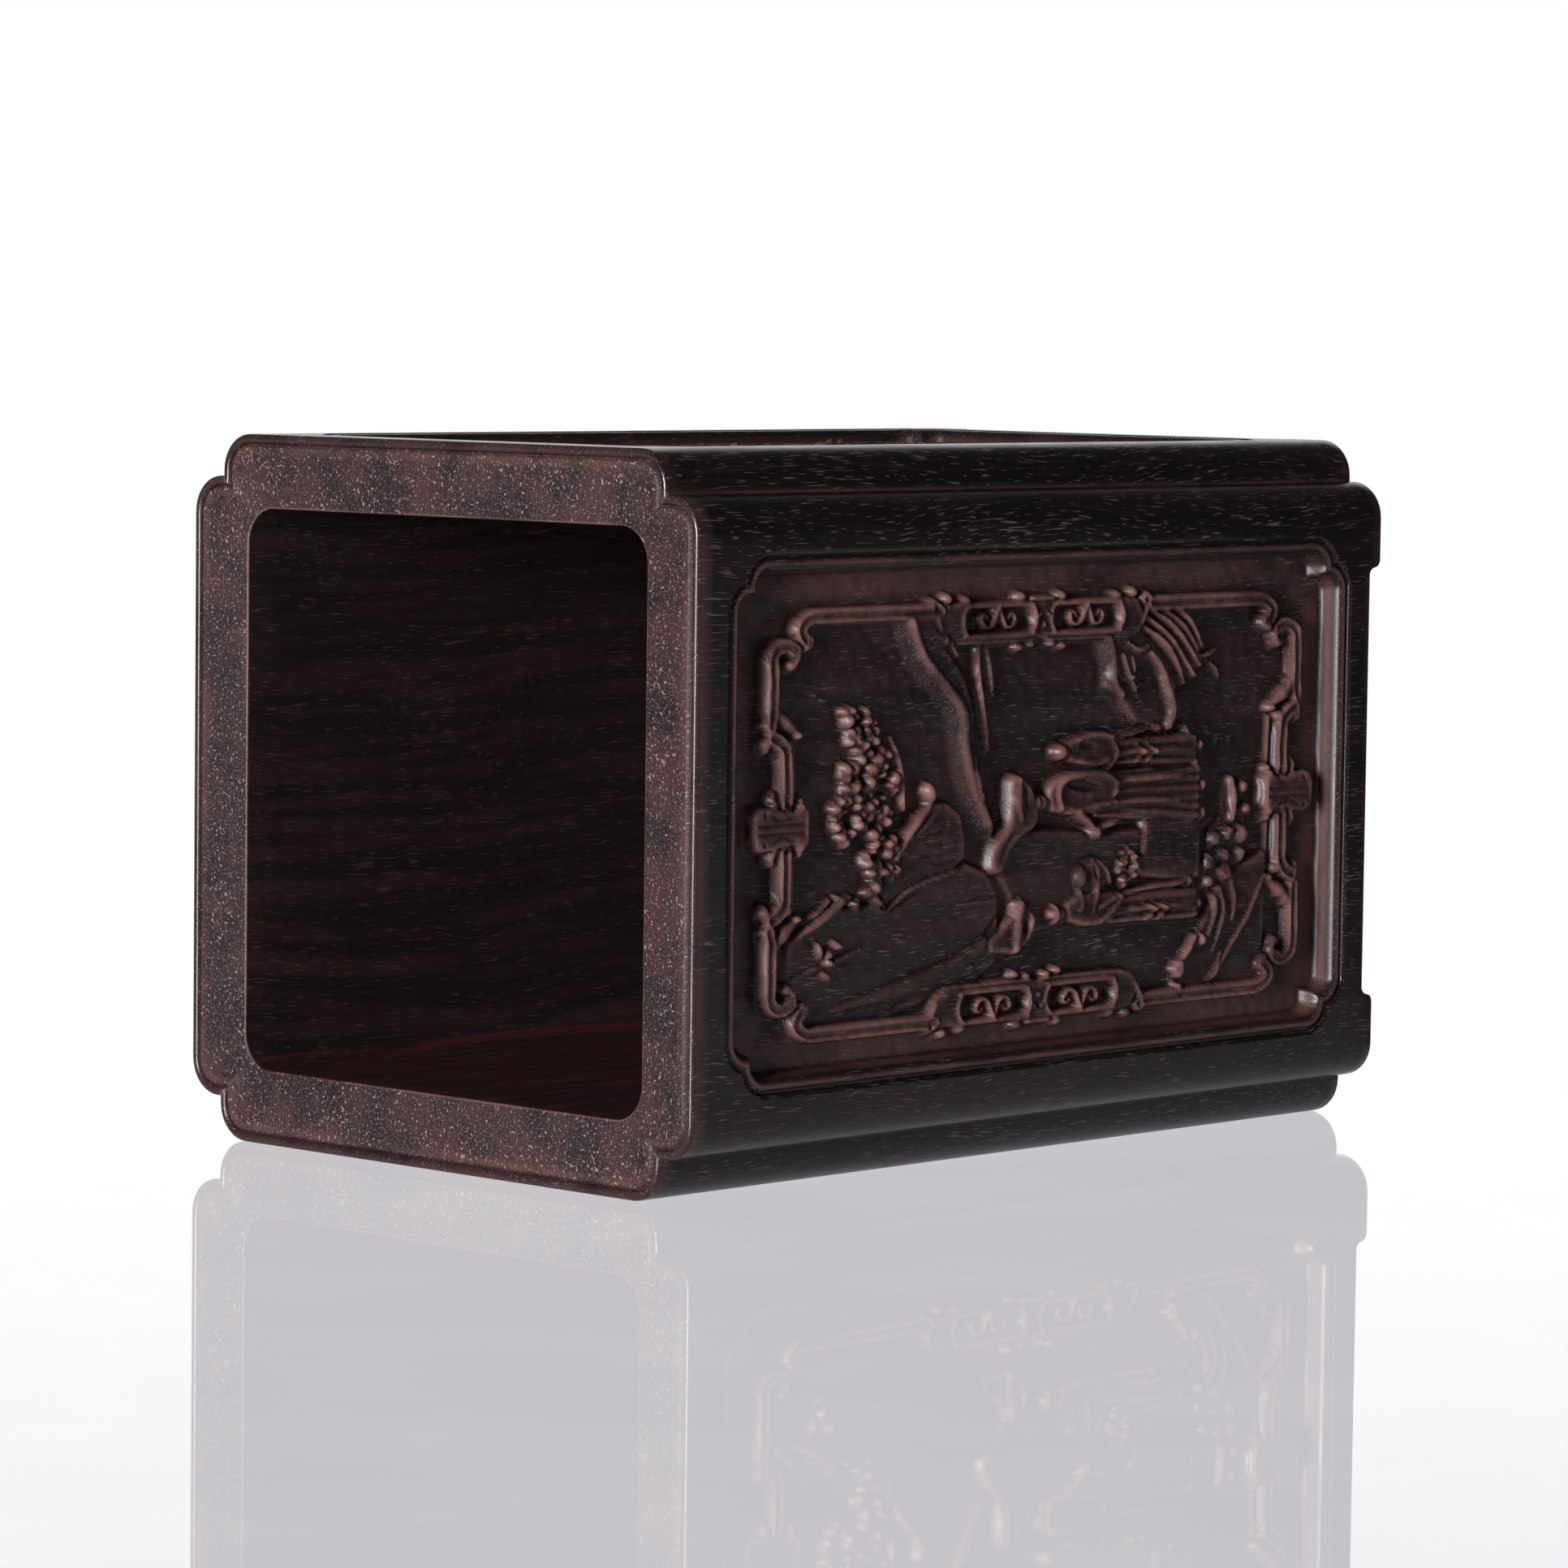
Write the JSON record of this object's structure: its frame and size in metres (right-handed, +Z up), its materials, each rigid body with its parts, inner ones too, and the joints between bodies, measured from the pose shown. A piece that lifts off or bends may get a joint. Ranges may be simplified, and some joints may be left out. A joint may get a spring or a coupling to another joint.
{
  "type": "brush holder pot",
  "caption": "Square dark hardwood brush pot with indented corners, framed landscape carving on every mitred wall, corner feet and a grooved-in floor board.",
  "frame": {"origin": "on the ground under the middle of the pot, at the bottom centre of its feet", "axes": "+Z up through the mouth along the wood grain; -Y is the carved front wall; +X is to the right of that wall"},
  "size_m": [0.11, 0.11, 0.158],
  "materials": {
    "carved_hardwood": "oiled and waxed, satin on the faces, duller in the carving",
    "floor_hardwood": "oiled, matt",
    "tongue_wood": "bare, planed"
  },
  "bodies": {
    "root": {"front_wall": "carved_hardwood", "back_wall": "carved_hardwood", "left_wall": "carved_hardwood", "right_wall": "carved_hardwood", "base_panel": "floor_hardwood", "front_left_key": "tongue_wood", "front_right_key": "tongue_wood", "back_left_key": "tongue_wood", "back_right_key": "tongue_wood"}
  },
  "joints": []
}
